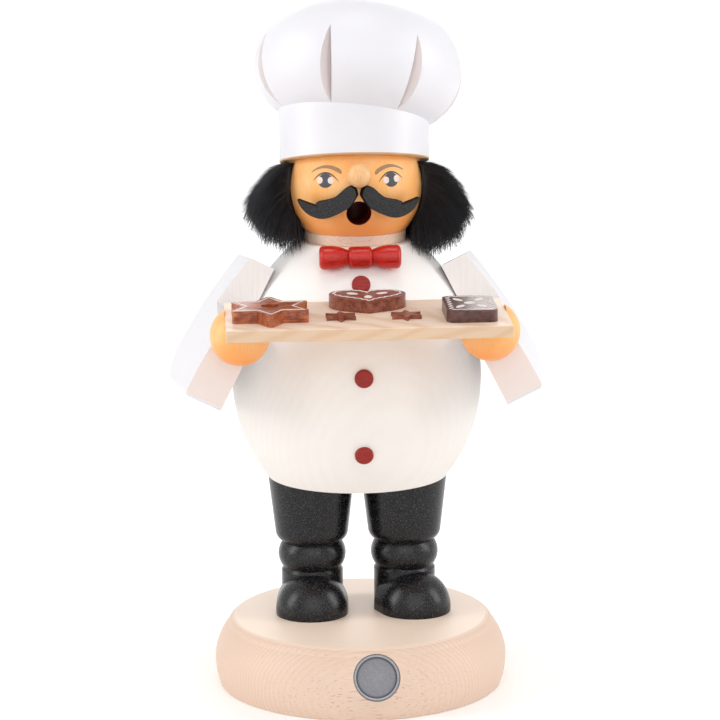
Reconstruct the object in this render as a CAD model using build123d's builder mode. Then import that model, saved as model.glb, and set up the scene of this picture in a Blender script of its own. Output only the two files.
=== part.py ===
from build123d import *
import os
from math import asin, atan, atan2, cos, degrees, radians, sin, sqrt, tan

# A turned wooden incense smoker: a pastry cook who stands on a round plinth with a tray of gingerbread.
# The figure lifts off the plug on its legs, a cone is set on the ember plate, and the smoke rises
# through the neck and leaves by the mouth. Millimetres, origin under the plinth, the cook faces -Y.

# Fits shared by all glued and loose joints
glue_gap = 0.05
plug_clearance = 0.3
tray_clearance = 0.5
dowel_radius = 3.0
dowel_end_gap = 0.5

# Plinth
plinth_height = 25.0
plinth_radius = 54.0
plinth_top_radius = 46.5
plinth_foot_radius = 52.2
plinth_belly_height = 9.0
plinth_cove_width = 2.6
plinth_cove_drop = 2.8
plinth_cove_hollow = 0.45
badge_radius = 8.4
badge_thickness = 2.2
badge_rim_width = 0.9
badge_rim_height = 0.4
badge_turn = 3.0

# Boots
figure_setback = 10.0
leg_spacing = 34.5
leg_height = 51.0
leg_top_radius = 16.0
knee_radius = 13.5
knee_height = 29.5
groove_radius = 10.8
bead_radius = 12.5
bead_height = 9.7
ankle_radius = 11.4
ankle_height = 16.1
ankle_round = 1.4
toe_radius = 13.4
toe_reach = 9.2
toe_lift = 1.7
toe_back = 2.0
toe_splays = {"right": 4.0, "left": 20.0}
foot_dowel_depth = 12.0
hip_dowel_depth = 6.0

# Plug and ember plate
plug_height = 9.0
plug_chamfer = 1.0
vent_radius = 4.0
vent_offset = 17.0
plate_radius = 11.0
plate_thickness = 0.8
plate_rim_height = 2.4
plate_recess = 1.0
brad_offset = 8.0
brad_radius = 0.6
brad_head_radius = 1.3
brad_head_height = 0.6
brad_length = 5.0

# Coat, the hollow body
body_radius = 46.0
body_belly_rise = 36.7
body_lower_arc = 59.0
body_upper_arc = 64.8
body_top_rise = 51.0
body_rim_round = 1.0
chamber_radius = 27.0
chamber_height = 50.0
chamber_dome = 20.0
button_radius = 3.3
button_proud = 1.5
button_depth = 5.0
button_round = 0.7
button_rises = {"top": 39.6, "middle": 8.2, "bottom": -20.2}

# Collar and bow tie
collar_radius = 18.5
collar_height = 4.0
collar_round = 0.6
tie_half_length = 14.6
tie_wing_radius = 4.3
tie_wing_crest = 11.2
tie_end_round = 1.7
tie_waist_radius = 2.65
knot_half_length = 4.2
knot_half_flat = 2.9
knot_radius = 3.9
tie_drop = 2.1
tie_stand_off = 4.4

# Head
head_radius = 24.8
head_rise = 16.6
tenon_radius = 10.0
tenon_depth = 12.0
flue_radius = 7.0
flue_top_rise = 0.5
mouth_radius = 4.5
mouth_drop = 7.6
nose_radius = 4.3
nose_flat_radius = 3.0
nose_lift = 13.5
nose_peg_radius = 1.6
nose_peg_depth = 6.0
moustache_thickness = 3.4
moustache_half_gap = 0.3
moustache_length = 22.0
moustache_tip_drop = 1.6
moustache_tip_rise = 0.35
moustache_hump = 3.5
moustache_hump_reach = 2.7
moustache_slope = 0.8
moustache_slope_reach = 8.9
moustache_dip = 2.8
moustache_dip_reach = 15.2
moustache_cheek = 7.2
moustache_cheek_reach = 17.3
moustache_belly = 8.3
moustache_belly_reach = 12.2
moustache_jaw = 5.2
moustache_jaw_reach = 4.6
moustache_jaw_lean = 0.6
moustache_turn = 16.0
moustache_drop = 0.8
moustache_let_in = 0.5

# Hair, a plush strip from temple to temple round the back
hair_front_angle = 73.0
hair_top_radius = 27.6
hair_reach = 40.5
hair_reach_drop = 9.5
hair_hem_radius = 25.0
hair_hem_drop = 3.5
hair_crown_fall = 1.6
hair_hem_tuck = 0.1

# Hat
hat_tilt = 13.0
hat_seat_rise = 7.9
band_radius = 27.4
band_height = 16.3
band_round = 0.8
crown_lean = 6.6
crown_back_lean = 3.5
crown_radius = 38.0
crown_belly = 17.0
crown_dome = 24.8
crown_shoulder = 24.1
pleat_count = 7
pleat_first = 30.0
pleat_top_rise = 26.5
pleat_half_angle = 21.0
pleat_overrun = 6.0
hat_dowel_depth = 7.0

# Sleeves, hands and tray
sleeve_lean = 27.0
sleeve_toe_in = 4.0
sleeve_let_in = 0.8
sleeve_top = 15.6
sleeve_top_fall = 3.0
sleeve_front = 12.0
sleeve_back = 9.5
sleeve_crook_drop = 4.1
sleeve_elbow_drop = 24.2
sleeve_elbow_forward = 6.0
sleeve_bottom = 39.0
sleeve_taper = 2.4
sleeve_top_thickness = 10.6
sleeve_mid_thickness = 14.9
sleeve_hem_thickness = 16.3
sleeve_round = 1.8
cuff_reach = 44.0
cuff_level = 12.0
cuff_top_drop = 8.0
cuff_bottom = 35.0
shoulder_dowel_depth = 6.0
hand_radius = 10.6
hand_drop = 6.5
hand_inset = 7.1
hand_cuff_gap = 8.2
hand_peg_radius = 2.5
hand_peg_depth = 10.0
hand_flat_rise = 3.8
tray_overhang = 5.26
tray_depth = 45.0
tray_thickness = 4.3
tray_round = 0.5
tray_tilt = 2.0

# Gingerbread
star_radius = 16.1
star_points = 6
star_tip_round = 1.1
star_hole_radius = 3.4
star_place = (-33.5, 26.4)
heart_width = 27.0
heart_length = 20.5
heart_dip = 3.4
heart_point_lean = 1.2
heart_tip_round = 2.0
heart_place = (1.2, 12.2)
slab_width = 17.6
slab_depth = 24.0
slab_corner = 3.0
slab_place = (35.5, 27.4)
bake_thickness = 4.4
mini_star_radius = 5.9
mini_star_waist = 2.8
mini_star_thickness = 1.5
mini_star_places = {"right": (-9.2, 29.3), "left": (13.4, 29.3)}

# Heights and planes that the pieces share
leg_top = plinth_height + leg_height
belly_z = leg_top + body_belly_rise
body_top = belly_z + body_top_rise
collar_top = body_top + collar_height
head_z = collar_top + head_rise
mouth_z = head_z - mouth_drop
leg_x = leg_spacing / 2
figure_axis = Axis((0, figure_setback, 0), (0, 0, 1))
figure_section = Plane(origin=(0, figure_setback, 0), x_dir=(1, 0, 0), z_dir=(0, -1, 0))
hat_up = Vector(0, sin(radians(hat_tilt)), cos(radians(hat_tilt)))
hat_seat = Plane(
    origin=Vector(0, figure_setback, head_z) + hat_up * hat_seat_rise,
    x_dir=(1, 0, 0),
    z_dir=hat_up,
)
crown_seat = hat_seat.offset(band_height).rotated((-crown_back_lean, crown_lean, 0))
os.makedirs("parts", exist_ok=True)


def keep(piece, name):
    """Label a finished piece and write it."""
    piece.part.label = name
    export_step(piece.part, f"parts/{name}.step")


def coat_radius(rise):
    """Outside radius of the coat at a height above the belly."""
    arc = body_upper_arc if rise > 0 else body_lower_arc
    return body_radius - arc + sqrt(arc**2 - rise**2)


def coat_slope(rise):
    """Upward tilt, in radians, of the coat's surface at a height above the belly."""
    return asin(rise / (body_upper_arc if rise > 0 else body_lower_arc))


# Plinth: one turned profile with a cove under its top edge and a full belly
cove_radius = plinth_top_radius + plinth_cove_width
cove_z = plinth_height - plinth_cove_drop
badge_tilt = atan((plinth_radius - cove_radius) / (cove_z - plinth_belly_height))
badge_seat = Plane(
    origin=(0, -(plinth_radius + cove_radius) / 2, (cove_z + plinth_belly_height) / 2),
    x_dir=(1, 0, 0),
    z_dir=(0, -cos(badge_tilt), sin(badge_tilt)),
).rotated((0, 0, badge_turn))
badge_seat.origin = badge_seat.origin.rotate(Axis.Z, badge_turn)
leg_spots = [(-leg_x, figure_setback), (leg_x, figure_setback)]

with BuildPart() as base_plinth:
    with BuildSketch(Plane.XZ):
        with BuildLine():
            Polyline((plinth_foot_radius, 0), (0, 0), (0, plinth_height), (plinth_top_radius, plinth_height))
            SagittaArc(
                (plinth_top_radius, plinth_height), (cove_radius, cove_z), plinth_cove_hollow
            )
            TangentArc(
                (plinth_radius, plinth_belly_height), (cove_radius, cove_z), tangent=(0, 1)
            )
            TangentArc(
                (plinth_radius, plinth_belly_height), (plinth_foot_radius, 0), tangent=(0, -1)
            )
        make_face()
    revolve(axis=Axis.Z)
    with BuildSketch(badge_seat.offset(-badge_thickness)):
        Circle(badge_radius + glue_gap)
    extrude(amount=2 * badge_radius, mode=Mode.SUBTRACT)
    with BuildSketch(Plane.XY.offset(plinth_height)):
        with Locations(*leg_spots):
            Circle(dowel_radius + glue_gap)
    extrude(amount=-foot_dowel_depth - dowel_end_gap, mode=Mode.SUBTRACT)
keep(base_plinth, "base_plinth")

with BuildPart() as base_badge:
    with BuildSketch(badge_seat.offset(-badge_thickness)):
        Circle(badge_radius)
    extrude(amount=badge_thickness)
    with BuildSketch(badge_seat):
        Circle(badge_radius - badge_rim_width)
    extrude(amount=-badge_rim_height, mode=Mode.SUBTRACT)
keep(base_badge, "base_badge")

# Boots: a tapering shaft, a bead between two grooves and a short ankle, turned in one piece
bead_base = ankle_height
bead_top = bead_base + bead_height
for side, sign in (("right", -1), ("left", 1)):
    leg_section = Plane(
        origin=(sign * leg_x, figure_setback, plinth_height), x_dir=(1, 0, 0), z_dir=(0, -1, 0)
    )
    leg_axis = Axis((sign * leg_x, figure_setback, 0), (0, 0, 1))
    leg_foot = Plane.XY.offset(plinth_height).move(Location((sign * leg_x, figure_setback, 0)))
    with BuildPart() as leg:
        with BuildSketch(leg_section):
            with BuildLine():
                Polyline(
                    (groove_radius, bead_base),
                    (ankle_radius - ankle_round / 2, bead_base - ankle_round / 4),
                    (ankle_radius, bead_base - ankle_round),
                    (ankle_radius, 0),
                    (0, 0),
                    (0, leg_height),
                    (leg_top_radius, leg_height),
                    (knee_radius, knee_height),
                )
                TangentArc(
                    (knee_radius, knee_height),
                    (groove_radius, bead_top),
                    tangent=(knee_radius - leg_top_radius, knee_height - leg_height),
                )
                ThreePointArc(
                    (groove_radius, bead_top),
                    (bead_radius, bead_base + bead_height / 2),
                    (groove_radius, bead_base),
                )
            make_face()
        revolve(axis=leg_axis)
        with BuildSketch(leg_foot):
            Circle(dowel_radius + glue_gap)
        extrude(amount=foot_dowel_depth + dowel_end_gap, mode=Mode.SUBTRACT)
        with BuildSketch(leg_foot.offset(leg_height)):
            Circle(dowel_radius + glue_gap)
        extrude(amount=-foot_dowel_depth - dowel_end_gap, mode=Mode.SUBTRACT)
    keep(leg, f"leg_{side}")

    splay = radians(sign * toe_splays[side])
    toe_plane = Plane(leg_foot.origin, x_dir=(cos(splay), sin(splay), 0), z_dir=(0, 0, 1))
    toe_forward = Vector(sin(splay), -cos(splay), 0)
    with BuildPart() as toe:
        with BuildSketch(toe_plane.offset(toe_lift)):
            with BuildLine():
                TangentArc(
                    (toe_radius, -toe_reach), (0, -toe_reach - toe_radius), tangent=(0, -1)
                )
                Polyline(
                    (toe_radius, -toe_reach),
                    (toe_radius, -toe_back),
                    (0, -toe_back),
                    (0, -toe_reach - toe_radius),
                )
            make_face()
        revolve(axis=Axis(leg_foot.offset(toe_lift).origin, toe_forward))
        split(bisect_by=toe_plane, keep=Keep.TOP)
        with BuildSketch(toe_plane):
            Circle(ankle_radius)
        extrude(amount=2 * toe_radius, mode=Mode.SUBTRACT)
    keep(toe, f"toe_{side}")

with BuildPart() as foot_dowels:
    with BuildSketch(Plane.XY.offset(plinth_height - foot_dowel_depth)):
        with Locations(*leg_spots):
            Circle(dowel_radius)
    extrude(amount=2 * foot_dowel_depth)
keep(foot_dowels, "foot_dowels")

with BuildPart() as hip_dowels:
    with BuildSketch(Plane.XY.offset(leg_top - foot_dowel_depth)):
        with Locations(*leg_spots):
            Circle(dowel_radius)
    extrude(amount=foot_dowel_depth + hip_dowel_depth)
keep(hip_dowels, "hip_dowels")

# Plug: carries the ember plate and lets air in from below, fore and aft of the legs
plug_top = leg_top + plug_height
plate_floor = plug_top - plate_recess
plug_radius = chamber_radius - plug_clearance
brad_spots = [(-brad_offset, figure_setback), (brad_offset, figure_setback)]

with BuildPart() as waist_plug:
    with BuildSketch(Plane.XY.offset(leg_top)):
        with Locations((0, figure_setback)):
            Circle(plug_radius)
        with Locations((0, figure_setback - vent_offset), (0, figure_setback + vent_offset)):
            Circle(vent_radius, mode=Mode.SUBTRACT)
    extrude(amount=plug_height)
    chamfer(waist_plug.faces().sort_by(Axis.Z)[-1].outer_wire().edges(), plug_chamfer)
    with BuildSketch(Plane.XY.offset(leg_top)):
        with Locations(*leg_spots):
            Circle(dowel_radius + glue_gap)
    extrude(amount=hip_dowel_depth + dowel_end_gap, mode=Mode.SUBTRACT)
    with BuildSketch(Plane.XY.offset(plug_top)):
        with Locations((0, figure_setback)):
            Circle(plate_radius + glue_gap)
    extrude(amount=-plate_recess, mode=Mode.SUBTRACT)
    with BuildSketch(Plane.XY.offset(plate_floor)):
        with Locations(*brad_spots):
            Circle(brad_radius + glue_gap)
    extrude(amount=-brad_length, mode=Mode.SUBTRACT)
keep(waist_plug, "waist_plug")

with BuildPart() as ember_plate:
    with BuildSketch(Plane.XY.offset(plate_floor)):
        with Locations((0, figure_setback)):
            Circle(plate_radius)
    extrude(amount=plate_rim_height)
    with BuildSketch(Plane.XY.offset(plate_floor + plate_thickness)):
        with Locations((0, figure_setback)):
            Circle(plate_radius - plate_thickness)
    extrude(amount=plate_rim_height, mode=Mode.SUBTRACT)
    with BuildSketch(Plane.XY.offset(plate_floor)):
        with Locations(*brad_spots):
            Circle(brad_radius + glue_gap)
    extrude(amount=plate_thickness, mode=Mode.SUBTRACT)
keep(ember_plate, "ember_plate")

with BuildPart() as ember_brads:
    with BuildSketch(Plane.XY.offset(plate_floor + plate_thickness)):
        with Locations(*brad_spots):
            Circle(brad_head_radius)
    extrude(amount=brad_head_height)
    with BuildSketch(Plane.XY.offset(plate_floor + plate_thickness)):
        with Locations(*brad_spots):
            Circle(brad_radius)
    extrude(amount=-brad_length)
keep(ember_brads, "ember_brads")

# Sleeves lie against the coat where its side leans by the sleeve's own lean
lean = radians(sleeve_lean)
toe_in = radians(sleeve_toe_in)
shoulder_rise = body_upper_arc * sin(lean)
shoulder_out = Vector(-cos(toe_in), -sin(toe_in), 0)
sleeve_out = shoulder_out * cos(lean) + Vector(0, 0, sin(lean))
sleeve_forward = Vector(sin(toe_in), -cos(toe_in), 0)
shoulder = (
    Vector(0, figure_setback, belly_z + shoulder_rise)
    + shoulder_out * coat_radius(shoulder_rise)
    - sleeve_out * sleeve_let_in
)
sleeve_plane = Plane(shoulder, x_dir=sleeve_forward, z_dir=sleeve_out)
cuff_plane = Plane(
    sleeve_plane.from_local_coords(Vector(cuff_reach, -hand_drop, hand_inset)),
    x_dir=sleeve_out,
    z_dir=sleeve_forward,
)

# Coat: an egg-shaped shell bored from below, closed by a dome that narrows to the neck
button_planes = {
    name: Plane(
        (0, figure_setback - coat_radius(rise), belly_z + rise),
        x_dir=(1, 0, 0),
        z_dir=(0, -cos(coat_slope(rise)), sin(coat_slope(rise))),
    )
    for name, rise in button_rises.items()
}
lower_phase = degrees(asin(body_belly_rise / body_lower_arc))
upper_phase = degrees(asin(body_top_rise / body_upper_arc))
neck_radius = tenon_radius + glue_gap
dome_z = leg_top + chamber_height

with BuildPart() as shoulder_cut:
    with BuildSketch(sleeve_plane):
        Rectangle(2 * chamber_radius, 2 * chamber_radius)
    extrude(amount=chamber_radius)
    with BuildSketch(sleeve_plane):
        Circle(dowel_radius + glue_gap)
    extrude(amount=-shoulder_dowel_depth - dowel_end_gap)
    mirror(about=Plane.YZ)

with BuildPart() as body_shell:
    with BuildSketch(figure_section):
        with BuildLine():
            CenterArc((body_radius - body_lower_arc, belly_z), body_lower_arc, -lower_phase, lower_phase)
            CenterArc((body_radius - body_upper_arc, belly_z), body_upper_arc, 0, upper_phase)
            Polyline(
                (coat_radius(body_top_rise), body_top),
                (neck_radius, body_top),
                (neck_radius, dome_z + chamber_dome),
            )
            TangentArc((chamber_radius, dome_z), (neck_radius, dome_z + chamber_dome), tangent=(0, 1))
            Polyline(
                (chamber_radius, dome_z),
                (chamber_radius, leg_top),
                (coat_radius(-body_belly_rise), leg_top),
            )
        make_face()
    revolve(axis=figure_axis)
    hem_edges = body_shell.edges().filter_by(GeomType.CIRCLE).group_by(Axis.Z)[0]
    fillet(hem_edges.sort_by(SortBy.LENGTH)[-1], body_rim_round)
    for plane in button_planes.values():
        with BuildSketch(plane.offset(-button_depth)):
            Circle(button_radius + glue_gap)
        extrude(amount=2 * button_depth, mode=Mode.SUBTRACT)
    add(shoulder_cut.part, mode=Mode.SUBTRACT)
keep(body_shell, "body_shell")

for name, plane in button_planes.items():
    with BuildPart() as button:
        with BuildSketch(plane.offset(-button_depth)):
            Circle(button_radius)
        extrude(amount=button_depth + button_proud)
        fillet(button.edges().sort_by(Axis(plane.origin, plane.z_dir))[-1], button_round)
    keep(button, f"coat_button_{name}")

# Collar: a bare turned ring between coat and head
with BuildPart() as collar_ring:
    with BuildSketch(Plane.XY.offset(body_top)):
        with Locations((0, figure_setback)):
            Circle(collar_radius)
            Circle(neck_radius, mode=Mode.SUBTRACT)
    extrude(amount=collar_height)
    fillet(collar_ring.edges().sort_by(SortBy.LENGTH)[-2:], collar_round)
keep(collar_ring, "collar_ring")

# Bow tie: a spindle turned with two full wings and a knot, its back scribed to the coat
tie_ring = coat_radius(body_top_rise - tie_drop) + tie_stand_off
tie_centre = Vector(0, figure_setback - tie_ring, body_top - tie_drop)
tie_section = Plane(tie_centre, x_dir=(1, 0, 0), z_dir=(0, -1, 0))
with BuildPart() as bow_tie:
    with BuildSketch(tie_section):
        with BuildLine():
            Line((tie_half_length, 0), (-tie_half_length, 0))
            for sign in (-1, 1):
                crest = (sign * tie_wing_crest, tie_wing_radius)
                wing_end = (sign * (tie_half_length - tie_end_round), tie_wing_radius)
                tip = (sign * tie_half_length, tie_wing_radius - tie_end_round)
                waist = (sign * knot_half_length, tie_waist_radius)
                knot_rim = (sign * knot_half_flat, knot_radius)
                Line((sign * tie_half_length, 0), tip)
                TangentArc(wing_end, tip, tangent=(sign, 0))
                Line(wing_end, crest)
                TangentArc(crest, waist, tangent=(-sign, 0))
                TangentArc(knot_rim, waist, tangent=(sign, 0))
            Line((-knot_half_flat, knot_radius), (knot_half_flat, knot_radius))
        make_face()
    revolve(axis=Axis(tie_centre, (1, 0, 0)))
    add(body_shell.part, mode=Mode.SUBTRACT)
keep(bow_tie, "bow_tie")

# Head: a turned ball with a hollow tenon through the collar, cut at a slant for the hat
head_centre = Vector(0, figure_setback, head_z)
nose_tilt = radians(nose_lift)
nose_axis = Vector(0, -cos(nose_tilt), sin(nose_tilt))
nose_seat = sqrt(head_radius**2 - nose_flat_radius**2)
nose_plane = Plane(head_centre + nose_axis * nose_seat, x_dir=(1, 0, 0), z_dir=nose_axis)
seat_phase = degrees(asin(head_rise / head_radius))
with BuildPart() as head:
    with BuildSketch(figure_section):
        with BuildLine():
            CenterArc((0, head_z), head_radius, start_angle=-seat_phase, arc_size=90 + seat_phase)
            Polyline(
                (0, head_z + head_radius),
                (0, collar_top - collar_height - tenon_depth),
                (tenon_radius, collar_top - collar_height - tenon_depth),
                (tenon_radius, collar_top),
                (sqrt(head_radius**2 - head_rise**2), collar_top),
            )
        make_face()
    revolve(axis=figure_axis)
    split(bisect_by=hat_seat, keep=Keep.BOTTOM)
    with BuildSketch(Plane.XY.offset(collar_top - collar_height - tenon_depth)):
        with Locations((0, figure_setback)):
            Circle(flue_radius)
    extrude(amount=collar_height + tenon_depth + head_rise + flue_top_rise, mode=Mode.SUBTRACT)
    with BuildSketch(Plane.XZ.offset(-figure_setback)):
        with Locations((0, mouth_z)):
            Circle(mouth_radius)
    extrude(amount=head_radius, mode=Mode.SUBTRACT)
    with BuildSketch(nose_plane):
        Circle(nose_flat_radius + glue_gap)
    extrude(amount=nose_flat_radius, mode=Mode.SUBTRACT)
    with BuildSketch(nose_plane):
        Circle(nose_peg_radius + glue_gap)
    extrude(amount=-nose_peg_depth - dowel_end_gap, mode=Mode.SUBTRACT)
    with BuildSketch(hat_seat):
        Circle(dowel_radius + glue_gap)
    extrude(amount=-hat_dowel_depth, mode=Mode.SUBTRACT)
keep(head, "head")

with BuildPart() as nose:
    ball_middle = sqrt(nose_radius**2 - nose_flat_radius**2)
    with BuildSketch(Plane(nose_plane.origin, x_dir=nose_axis, z_dir=(1, 0, 0))):
        with BuildLine():
            Polyline(
                (ball_middle + nose_radius, 0),
                (-nose_peg_depth, 0),
                (-nose_peg_depth, nose_peg_radius),
                (0, nose_peg_radius),
                (0, nose_flat_radius),
            )
            ThreePointArc(
                (0, nose_flat_radius), (ball_middle, nose_radius), (ball_middle + nose_radius, 0)
            )
        make_face()
    revolve(axis=Axis(nose_plane.origin, nose_axis))
keep(nose, "nose")

# Moustache: two fretsawn plates glued to the cheeks, thick by the nose and swept to a point
turn = radians(moustache_turn)
plate_gap = head_radius - moustache_let_in
root_reach = plate_gap * tan(turn)
moustache_plane = Plane(
    Vector(-plate_gap * sin(turn), figure_setback - plate_gap * cos(turn), head_z - moustache_drop),
    x_dir=(cos(turn), -sin(turn), 0),
    z_dir=(-sin(turn), -cos(turn), 0),
)
with BuildPart() as moustache_right:
    with BuildSketch(moustache_plane):
        with BuildLine():
            root = (root_reach - moustache_half_gap, 0)
            hump = (root_reach - moustache_hump_reach, moustache_hump)
            slope = (root_reach - moustache_slope_reach, -moustache_slope)
            dip = (root_reach - moustache_dip_reach, -moustache_dip)
            tip = (root_reach - moustache_length, -moustache_tip_drop)
            cheek = (root_reach - moustache_cheek_reach, -moustache_cheek)
            belly = (root_reach - moustache_belly_reach, -moustache_belly)
            jaw = (root_reach - moustache_jaw_reach, -moustache_jaw)
            Spline(root, hump, slope, dip, tip, tangents=[(0, 1), (-1, moustache_tip_rise)])
            Spline(tip, cheek, belly, jaw, root, tangents=[(moustache_tip_rise, -1), (moustache_jaw_lean, 1)])
        make_face()
    extrude(amount=moustache_thickness)
    add(head.part, mode=Mode.SUBTRACT)
keep(moustache_right, "moustache_right")

with BuildPart() as moustache_left:
    mirror(moustache_right.part, about=Plane.YZ)
keep(moustache_left, "moustache_left")

# Hair: a thick plush strip under the hat band, open at the face
hair_angle = radians(hair_front_angle)
hair_start = Vector(sin(hair_angle), -cos(hair_angle), 0)
with BuildPart() as hair:
    with BuildSketch(
        Plane((0, figure_setback, 0), x_dir=hair_start, z_dir=hair_start.cross(Vector(0, 0, 1)))
    ):
        with BuildLine():
            hem = body_top - hair_hem_drop
            Spline(
                (hair_top_radius, head_z + head_radius / 2),
                (hair_reach, head_z - hair_reach_drop),
                (hair_hem_radius, hem),
                tangents=[(1, -hair_crown_fall), (-1, -hair_hem_tuck)],
            )
            Polyline(
                (hair_hem_radius, hem),
                (collar_radius - collar_round, hem),
                (collar_radius - collar_round, head_z + head_radius / 2),
                (hair_top_radius, head_z + head_radius / 2),
            )
        make_face()
    revolve(axis=figure_axis, revolution_arc=360 - 2 * hair_front_angle)
    split(bisect_by=hat_seat, keep=Keep.BOTTOM)
    add(collar_ring.part, mode=Mode.SUBTRACT)
    add(body_shell.part, mode=Mode.SUBTRACT)
    with Locations(head_centre):
        Sphere(head_radius, mode=Mode.SUBTRACT)
keep(hair, "hair")

# Hat: a drum set back on the head, cut at a slant under the leaning crown
with BuildPart() as hat_band:
    with BuildSketch(hat_seat):
        Circle(band_radius)
    extrude(amount=2 * band_height)
    split(bisect_by=crown_seat, keep=Keep.BOTTOM)
    fillet(hat_band.edges().sort_by(Axis(hat_seat.origin, hat_up))[0], band_round)
    with BuildSketch(hat_seat):
        Circle(dowel_radius + glue_gap)
    extrude(amount=hat_dowel_depth, mode=Mode.SUBTRACT)
    with BuildSketch(crown_seat):
        Circle(dowel_radius + glue_gap)
    extrude(amount=-hat_dowel_depth, mode=Mode.SUBTRACT)
keep(hat_band, "hat_band")

with BuildPart() as hat_dowel:
    with BuildSketch(hat_seat.offset(-hat_dowel_depth)):
        Circle(dowel_radius)
    extrude(amount=2 * hat_dowel_depth)
keep(hat_dowel, "hat_dowel")

# Crown: a turned mushroom with straight V cuts that leave the pleats between them
crown_section = Plane(crown_seat.origin, x_dir=crown_seat.x_dir, z_dir=crown_seat.y_dir * -1)
crown_top_arc = (crown_radius**2 - 2 * crown_radius * crown_shoulder + crown_dome**2) / (
    2 * (crown_dome - crown_shoulder)
)
shoulder_phase = degrees(atan2(crown_top_arc - crown_dome, crown_radius - crown_shoulder))
half_mouth = crown_radius * tan(radians(pleat_half_angle))
pleat_top_radius = (
    crown_radius - crown_shoulder + sqrt(crown_shoulder**2 - (pleat_top_rise - crown_belly) ** 2)
)
with BuildPart() as hat_crown:
    with BuildSketch(crown_section):
        with BuildLine():
            Polyline((band_radius, 0), (0, 0), (0, crown_belly + crown_dome))
            CenterArc((crown_radius - crown_shoulder, crown_belly), crown_shoulder, 0, shoulder_phase)
            CenterArc(
                (0, crown_belly + crown_dome - crown_top_arc),
                crown_top_arc,
                shoulder_phase,
                90 - shoulder_phase,
            )
            TangentArc((crown_radius, crown_belly), (band_radius, 0), tangent=(0, -1))
        make_face()
    revolve(axis=Axis(crown_seat.origin, crown_seat.z_dir))
    for index in range(pleat_count):
        heading = radians(-90 + pleat_first + index * 360 / pleat_count)
        outward = crown_seat.x_dir * cos(heading) + crown_seat.y_dir * sin(heading)
        foot = crown_seat.origin + outward * band_radius
        rise = outward * (pleat_top_radius - band_radius) + crown_seat.z_dir * pleat_top_rise
        across = rise.cross(outward).normalized()
        start = foot - rise.normalized() * pleat_overrun
        with BuildSketch(Plane(start, x_dir=across, z_dir=rise)):
            with BuildLine():
                Polyline((0, 0), (half_mouth, -crown_radius), (-half_mouth, -crown_radius), close=True)
            make_face()
        extrude(amount=rise.length + 2 * pleat_overrun, mode=Mode.SUBTRACT)
    with BuildSketch(crown_seat):
        Circle(dowel_radius + glue_gap)
    extrude(amount=hat_dowel_depth, mode=Mode.SUBTRACT)
keep(hat_crown, "hat_crown")

with BuildPart() as crown_dowel:
    with BuildSketch(crown_seat.offset(-hat_dowel_depth)):
        Circle(dowel_radius)
    extrude(amount=2 * hat_dowel_depth)
keep(crown_dowel, "crown_dowel")

# Sleeves: sawn to the bent arm's outline, the outer face rounded and tapering to the cuff
taper = radians(sleeve_taper)
taper_forward = sleeve_forward * cos(taper) - sleeve_out * sin(taper)
sleeve_section = Plane(
    sleeve_plane.from_local_coords(Vector(-sleeve_back, 0, 0)),
    x_dir=sleeve_out * cos(taper) + sleeve_forward * sin(taper),
    z_dir=taper_forward * -1,
)
with BuildPart() as sleeve_right:
    with BuildSketch(sleeve_plane):
        with BuildLine():
            elbow_start = (-sleeve_back, -sleeve_elbow_drop)
            elbow_end = (sleeve_elbow_forward, -sleeve_bottom)
            Polyline(
                elbow_start,
                (-sleeve_back, sleeve_top - sleeve_top_fall),
                (sleeve_front, sleeve_top),
                (sleeve_front, -sleeve_crook_drop),
                (cuff_reach - cuff_level, -cuff_top_drop),
                (cuff_reach, -cuff_top_drop),
                (cuff_reach, -cuff_bottom),
                elbow_end,
            )
            TangentArc(
                elbow_end,
                elbow_start,
                tangent=(sleeve_elbow_forward - cuff_reach, cuff_bottom - sleeve_bottom),
            )
        make_face()
    extrude(amount=2 * sleeve_mid_thickness)
    with BuildSketch(sleeve_section):
        with BuildLine():
            ThreePointArc(
                (sleeve_top_thickness, sleeve_top),
                (sleeve_mid_thickness, -cuff_top_drop),
                (sleeve_hem_thickness, -sleeve_bottom - sleeve_round),
            )
            Polyline(
                (sleeve_hem_thickness, -sleeve_bottom - sleeve_round),
                (-sleeve_hem_thickness, -sleeve_bottom - sleeve_round),
                (-sleeve_hem_thickness, sleeve_top),
                (sleeve_top_thickness, sleeve_top),
            )
        make_face()
    extrude(amount=2 * cuff_reach, both=True, mode=Mode.INTERSECT)
    outer_face = sleeve_right.faces().sort_by(Axis(shoulder, sleeve_out))[-1]
    cuff_face = sleeve_right.faces().sort_by(Axis(shoulder, sleeve_forward))[-1]
    sleeve_up = Axis(shoulder, sleeve_plane.y_dir)
    fillet(outer_face.edges().sort_by(sleeve_up)[:2] + cuff_face.edges().sort_by(sleeve_up)[:1], sleeve_round)
    with BuildSketch(sleeve_plane):
        Circle(dowel_radius + glue_gap)
    extrude(amount=shoulder_dowel_depth + dowel_end_gap, mode=Mode.SUBTRACT)
    with BuildSketch(cuff_plane):
        Circle(hand_peg_radius + glue_gap)
    extrude(amount=-hand_peg_depth - dowel_end_gap, mode=Mode.SUBTRACT)
keep(sleeve_right, "sleeve_right")

with BuildPart() as sleeve_left:
    mirror(sleeve_right.part, about=Plane.YZ)
keep(sleeve_left, "sleeve_left")

with BuildPart() as shoulder_dowels:
    with BuildSketch(sleeve_plane.offset(-shoulder_dowel_depth)):
        Circle(dowel_radius)
    extrude(amount=2 * shoulder_dowel_depth)
    mirror(about=Plane.YZ)
keep(shoulder_dowels, "shoulder_dowels")

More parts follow.
